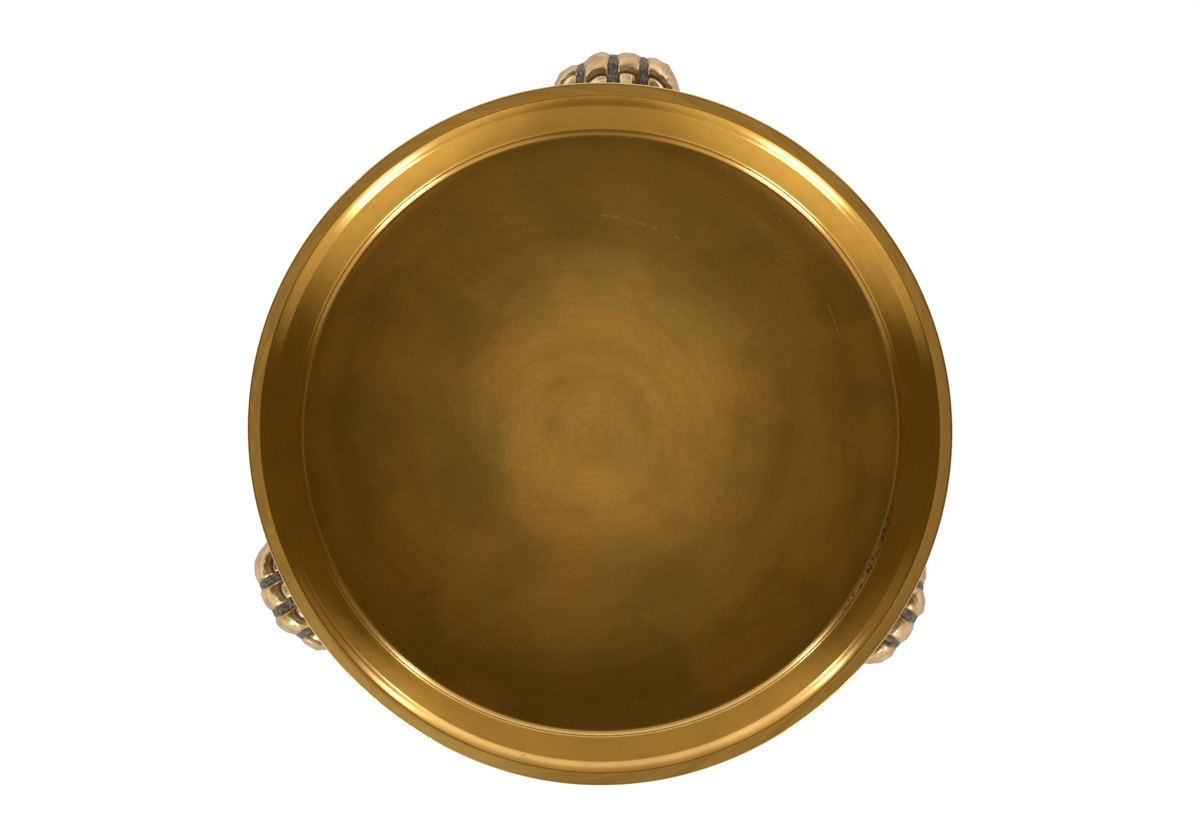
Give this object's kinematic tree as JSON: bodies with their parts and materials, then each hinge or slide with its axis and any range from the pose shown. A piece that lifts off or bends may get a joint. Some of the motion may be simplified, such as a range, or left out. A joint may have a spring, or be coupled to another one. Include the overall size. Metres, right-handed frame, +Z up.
{
  "type": "footed brass bowl",
  "caption": "Shallow round brass bowl of the urli kind, with a stepped flat rim brazed to a dished pan, raised on cast lion-paw feet.",
  "frame": {"origin": "on the bowl's axis, on the surface that the feet stand on", "axes": "+Z up along the bowl's axis; +Y towards the back foot, which stands 2.3 degrees clockwise of it seen from above; +X to the right seen from above with the back foot at the top"},
  "size_m": [0.3148, 0.3242, 0.11],
  "materials": {
    "polished_brass": "polished by hand and aged, with fine circular polishing lines",
    "rim_brass": "turned and polished, lightly aged",
    "braze": "dull filler metal with dark pits and pale green residue",
    "boss_brass": "dull, as turned",
    "antiqued_brass": "cast, dark patina in the grooves and worn bright on the toes",
    "fastener_brass": "dull, with slotted heads"
  },
  "bodies": {
    "root": {"bowl_pan": "polished_brass", "rim_ring": "rim_brass", "rim_seam_braze": "braze", "boss_back": "boss_brass", "boss_right": "boss_brass", "boss_left": "boss_brass", "paw_foot_back": "antiqued_brass", "paw_foot_right": "antiqued_brass", "paw_foot_left": "antiqued_brass", "foot_screws": "fastener_brass", "foot_washers": "fastener_brass"}
  },
  "joints": []
}
